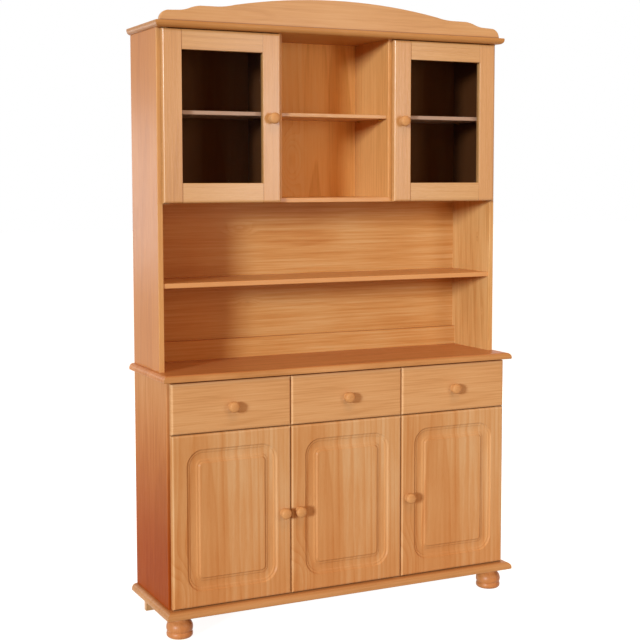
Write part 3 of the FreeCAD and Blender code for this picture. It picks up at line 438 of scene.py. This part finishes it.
# Turned pieces: outline points as (radius, height) in mm, from the seat outwards
turning = {"steps": 32, "smooth": 2, "weld": 0.01}
knobOutline = ((0, -10), (5, -10), (5, 0), (14, 0), (14.4, 2.5), (13.2, 5), (12.5, 7.5), (13, 10),
               (15, 12.4), (16.7, 15.5), (17, 18.5), (16.2, 22.5), (13.2, 25.9), (7, 27.7), (0, 28))
footOutline = ((0, 0), (29, 0), (35.5, 2), (39, 7), (39.5, 12), (38.4, 17.5), (36.6, 19.6), (36.6, 20.4),
               (38.4, 22.5), (40, 29), (39.4, 37), (36.4, 45), (31, 51), (28.4, 55), (28, 60), (28, 66),
               (10, 66), (10, 76), (0, 76))


def turnOnLathe(shape, outline, centre, axis):
    side = Vector((1, 0, 0))
    points = [shape.verts.new(centre + side * radius * mm + axis * height * mm)
              for radius, height in outline]
    edges = [shape.edges.new(pair) for pair in zip(points, points[1:])]
    bmesh.ops.spin(shape, geom=points + edges, cent=centre, axis=axis, angle=2 * math.pi,
                   steps=turning["steps"], use_merge=True)


def finishTurning(name, shape, body, node, wood):
    bmesh.ops.remove_doubles(shape, verts=shape.verts, dist=turning["weld"] * mm)
    bmesh.ops.recalc_face_normals(shape, faces=shape.faces)
    for face in shape.faces:
        face.smooth = True
    piece = makePiece(name, shape, body, "beech", wood, node)
    rounding = piece.modifiers.new("rounding", "SUBSURF")
    rounding.levels = rounding.render_levels = turning["smooth"]


def makeKnob(node, front, body):
    low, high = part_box(node)
    shape = bmesh.new()
    centre = Vector(((low.x + high.x) / 2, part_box(front)[0].y, (low.z + high.z) / 2))
    turnOnLathe(shape, knobOutline, centre, Vector((0, -1, 0)))
    finishTurning("turned_" + node, shape, body, node, knobPine)


for column in columns:
    makeKnob(f"{column}_door_knob", f"{column}_door_panel", f"{column}_door")
    makeKnob(f"{column}_drawer_knob", f"{column}_drawer_front", f"{column}_drawer")
for hand in glazed:
    makeKnob(f"{hand}_glazed_knob", f"{hand}_glazed_stiles", f"{hand}_glazed_door")

low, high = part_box("bun_feet")
feet = bmesh.new()
reach = (high.y - low.y) / 2
for x in (low.x + reach, high.x - reach):
    turnOnLathe(feet, footOutline, Vector((x, low.y + reach, low.z)), Vector((0, 0, 1)))
finishTurning("turned_feet", feet, "carcass", "bun_feet", turnedPine)
print("crest, knobs and feet modelled")

glassLook = {"tint": "120a06", "alpha": 0.12, "roughness": 0.04, "specular": 0.01,
             "rippleWidth": 120, "ripple": 0.02, "relief": 1}


# Sheet glass with a faint bronze cast: it shows the dark cupboard behind it and hardly reflects
def sheetGlass():
    material, tree = newMaterial("bronzedSheetGlass")
    place = addNode(tree, "TexCoord").outputs["Object"]
    ripple = addNode(tree, "TexNoise", {
        "Vector": place, "Scale": 1 / (glassLook["rippleWidth"] * mm), "Detail": 1.0})
    bump = addNode(tree, "Bump", {
        "Height": ripple.outputs["Fac"], "Strength": glassLook["ripple"],
        "Distance": glassLook["relief"] * mm})
    pane = addNode(tree, "BsdfPrincipled", {
        "Base Color": linear(glassLook["tint"]), "Roughness": glassLook["roughness"],
        "Alpha": glassLook["alpha"], "Specular IOR Level": glassLook["specular"], "Normal": bump})
    addNode(tree, "OutputMaterial", {"Surface": pane})
    return material


dress(sheetGlass(), "left_glazed_pane", "right_glazed_pane")

fittingLook = {"gritWidth": 0.8, "bump": 0.1, "relief": 0.2, "roughnessSpread": 0.08}


# Small fittings, with a grit that breaks up the gloss and is drawn coarse enough to show
def fitting(name, tint, rough, metallic):
    material, tree = newMaterial(name)
    place = addNode(tree, "TexCoord").outputs["Object"]
    grit = addNode(tree, "TexNoise", {
        "Vector": place, "Scale": 1 / (fittingLook["gritWidth"] * mm), "Detail": 2.0}).outputs["Fac"]
    spread = fittingLook["roughnessSpread"]
    roughness = addNode(tree, "MapRange", [grit, *noiseSpan, rough - spread, rough + spread])
    bump = addNode(tree, "Bump", {
        "Height": grit, "Strength": fittingLook["bump"], "Distance": fittingLook["relief"] * mm})
    shader = addNode(tree, "BsdfPrincipled", {
        "Base Color": linear(tint), "Metallic": metallic, "Roughness": roughness, "Normal": bump})
    addNode(tree, "OutputMaterial", {"Surface": shader})
    return material


# Lacquered steel blends into the gaps round the doors
dress(fitting("brownLacqueredSteel", tint="9a6a40", rough=0.5, metallic=0), "pivot_plates")
# Turned brass gives small warm glints
dress(fitting("turnedBrass", tint="c9a24e", rough=0.3, metallic=1), "shelf_pins",
      *[f"{column}_door_fittings" for column in columns], "left_glazed_fittings", "right_glazed_fittings")
# Moulded plastic is dull and dark
dress(fitting("mouldedBrownPlastic", tint="6b4a2c", rough=0.5, metallic=0), "door_catches")
print("glass and fittings dressed")

# Camera: turns in degrees, the focus and the shift above the centre in pixels of the frame
view = {"place": (-1.80286, -3.64475, 1.3329), "turn": -26.02, "down": 4.69, "roll": 0.07,
        "focus": 1302.9, "frame": 640, "above": 32, "sensor": 36, "farthest": 100}
camera = bpy.data.cameras.new("camera")
camera.sensor_width = view["sensor"]
camera.lens = camera.sensor_width * view["focus"] / view["frame"]
camera.shift_y = -view["above"] / view["frame"]
camera.clip_end = view["farthest"]
eye = bpy.data.objects.new("camera", camera)
eye.location = view["place"]
eye.rotation_euler = Euler((math.radians(90 - view["down"]), math.radians(view["roll"]),
                            math.radians(view["turn"])))
bpy.context.scene.collection.objects.link(eye)
bpy.context.scene.camera = eye

# A cool key from the left against warm light from the room
studio = {"key": 3.2, "keyTint": "e4f4ff", "keyTurn": 56, "keyHeight": 9, "keySoftness": 10,
          "world": 0.46, "worldTint": "ffbe7c", "floor": "b8b6b2", "floorReach": 30, "glow": 0.93}
# Soft boxes: power, tint, width and height, place, and the point that each one faces
softBoxes = {
    "overhead": (75, "ffdaaa", 2.4, 1.5, (-0.4, -3.9, 6.4), (0.0, -0.1, 0.9)),
    "fill": (26, "ffffff", 0.9, 1.1, (1.57, -3.72, 1.65), (-0.1, -0.08, 1.4)),
    "rim": (7, "ffffff", 0.9, 0.9, (-1.7, 3.4, 1.27), (-0.57, 0.0, 1.3)),
    "rear": (80, "ffffff", 1.6, 1.6, (2.6, 3.2, 2.4), (0.1, 0.1, 0.9)),
}
bpy.context.scene.view_settings.view_transform = "Standard"
world = bpy.data.worlds.new("studio")
world.use_nodes = True
bpy.context.scene.world = world
world.node_tree.nodes.clear()


def seenShare(tree):
    # 1 for rays that show the surroundings, 0 for rays that carry light to the object
    path = addNode(tree, "LightPath").outputs
    seen = addNode(tree, "Math", [path["Is Camera Ray"], path["Is Glossy Ray"]], operation="MAXIMUM")
    return addNode(tree, "Math", [seen, path["Is Transmission Ray"]], operation="MAXIMUM")


seen = seenShare(world.node_tree)
worldLevel = addNode(world.node_tree, "MapRange", [seen, 0, 1, studio["world"], 1])
worldColour = addNode(world.node_tree, "Mix", {
    "Factor": seen, "A": linear(studio["worldTint"]), "B": (1, 1, 1, 1)}, data_type="RGBA")
shine = addNode(world.node_tree, "Background", {"Color": worldColour, "Strength": worldLevel})
addNode(world.node_tree, "OutputWorld", {"Surface": shine})

# Matt pale floor that takes the object's shadow and shows nearly white
floorMesh = bmesh.new()
bmesh.ops.create_grid(floorMesh, x_segments=1, y_segments=1, size=studio["floorReach"])
floorData = bpy.data.meshes.new("floor")
floorMesh.to_mesh(floorData)
floorMesh.free()
floor = bpy.data.objects.new("floor", floorData)
bpy.context.scene.collection.objects.link(floor)
floorMaterial, tree = newMaterial("paleFloor")
matte = addNode(tree, "BsdfDiffuse", {"Color": linear(studio["floor"])})
strength = addNode(tree, "Math", [seenShare(tree), studio["glow"]], operation="MULTIPLY")
glow = addNode(tree, "Emission", {"Color": (1, 1, 1, 1), "Strength": strength})
addNode(tree, "OutputMaterial", {"Surface": addNode(tree, "AddShader", [matte, glow])})
floorData.materials.append(floorMaterial)

sun = bpy.data.lights.new("key", "SUN")
sun.energy = studio["key"]
sun.color = linear(studio["keyTint"])[:3]
sun.angle = math.radians(studio["keySoftness"])
lamp = bpy.data.objects.new("key", sun)
lamp.rotation_euler = Euler((math.radians(90 - studio["keyHeight"]), 0, math.radians(-studio["keyTurn"])))
bpy.context.scene.collection.objects.link(lamp)

for name, (power, tint, width, height, place, target) in softBoxes.items():
    light = bpy.data.lights.new(name, "AREA")
    light.shape = "RECTANGLE"
    light.size, light.size_y = width, height
    light.energy = power
    light.color = linear(tint)[:3]
    softBox = bpy.data.objects.new(name, light)
    softBox.location = place
    softBox.rotation_euler = (Vector(target) - Vector(place)).to_track_quat("-Z", "Y").to_euler()
    softBox.visible_glossy = name != "rear"  # no glare on the worktop's end
    bpy.context.scene.collection.objects.link(softBox)

print("camera and light set")
